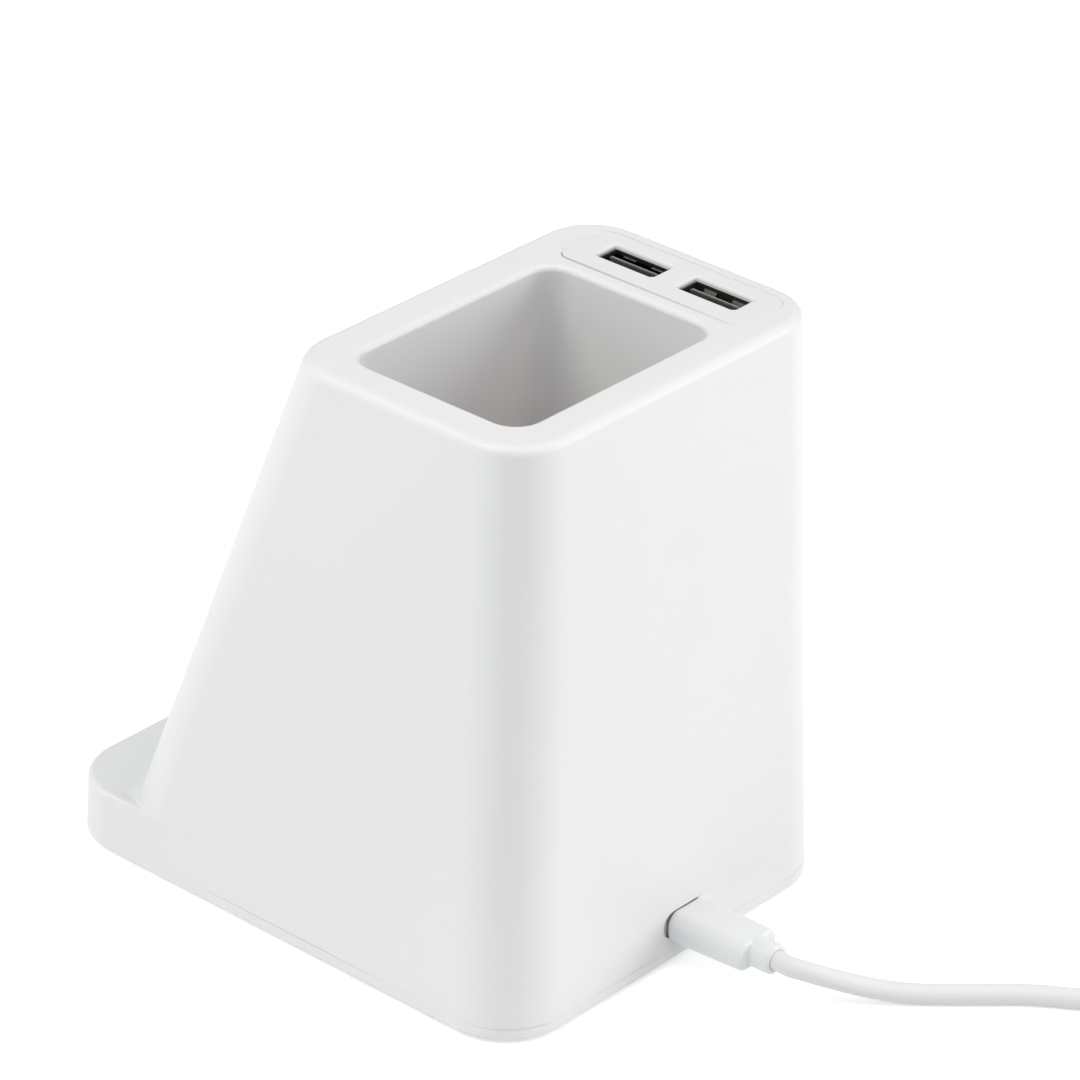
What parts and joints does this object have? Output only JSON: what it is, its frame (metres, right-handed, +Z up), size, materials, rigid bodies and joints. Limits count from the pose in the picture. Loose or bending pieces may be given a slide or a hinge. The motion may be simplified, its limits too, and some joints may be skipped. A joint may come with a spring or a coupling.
{
  "type": "wireless charger pen holder",
  "caption": "White desk charger block with a sloped phone rest and ledge, a rounded rectangular pen cup, a flush panel of USB-A outlets and a plugged-in USB-C supply cable.",
  "frame": {"origin": "on the table, under the middle of the footprint of the charger block", "axes": "+Z up, +Y out of the rear wall along the plug, +X towards the side that has no USB-A outlets; the phone leans on the -Y face"},
  "size_m": [0.1122, 0.2634, 0.1158],
  "materials": {
    "white_plastic": "fine matt moulded plastic",
    "panel_plastic": "smooth satin plastic",
    "foot_rubber": "matt",
    "steel": "plain plated",
    "socket_steel": "plain plated",
    "contact_plastic": "plain",
    "board_laminate": "satin",
    "chip_black": "plain",
    "inductor_grey": "plain",
    "capacitor_sleeve": "sleeved",
    "copper": "enamelled wire",
    "ferrite": "plain sheet",
    "carrier_plastic": "plain",
    "lead_insulation": "plain",
    "plug_plastic": "satin",
    "cable_plastic": "satin"
  },
  "bodies": {
    "charger": {"housing": "white_plastic", "base_cover": "white_plastic", "foot_1": "foot_rubber", "foot_2": "foot_rubber", "foot_3": "foot_rubber", "foot_4": "foot_rubber", "cover_screw_1": "steel", "cover_screw_2": "steel", "cover_screw_3": "steel", "cover_screw_4": "steel", "board_screw_1": "steel", "board_screw_2": "steel", "board_screw_3": "steel", "board_screw_4": "steel", "carrier_screw_1": "steel", "carrier_screw_2": "steel", "carrier_screw_3": "steel", "carrier_screw_4": "steel", "usb_board_screw_1": "steel", "usb_board_screw_2": "steel", "usb_panel": "panel_plastic", "usb_a_shell_1": "socket_steel", "usb_a_shell_2": "socket_steel", "usb_c_shell": "socket_steel", "usb_a_tongue_1": "contact_plastic", "usb_a_tongue_2": "contact_plastic", "usb_c_tongue": "contact_plastic", "usb_board": "board_laminate", "main_board": "board_laminate", "controller_chip": "chip_black", "driver_chip": "chip_black", "power_inductor": "inductor_grey", "capacitor_1": "capacitor_sleeve", "capacitor_2": "capacitor_sleeve", "charging_coil": "copper", "coil_lead_1": "copper", "coil_lead_2": "copper", "ferrite_sheet": "ferrite", "coil_carrier": "carrier_plastic", "usb_lead_1": "lead_insulation", "usb_lead_2": "lead_insulation"},
    "supply_plug": {"usb_c_plug_grip": "plug_plastic", "usb_c_plug_shell": "steel", "usb_c_plug_relief": "plug_plastic", "cable_run": "cable_plastic", "cable_coil": "cable_plastic", "cable_tail": "cable_plastic", "usb_a_plug_relief": "plug_plastic", "usb_a_plug_grip": "plug_plastic", "usb_a_plug_shell": "steel", "usb_a_plug_insert": "plug_plastic"}
  },
  "joints": [
    {"name": "plug_slide", "type": "slide", "parent": "charger", "child": "supply_plug", "axis": [0, 1, 0], "range_m": [0, 0.012]}
  ]
}
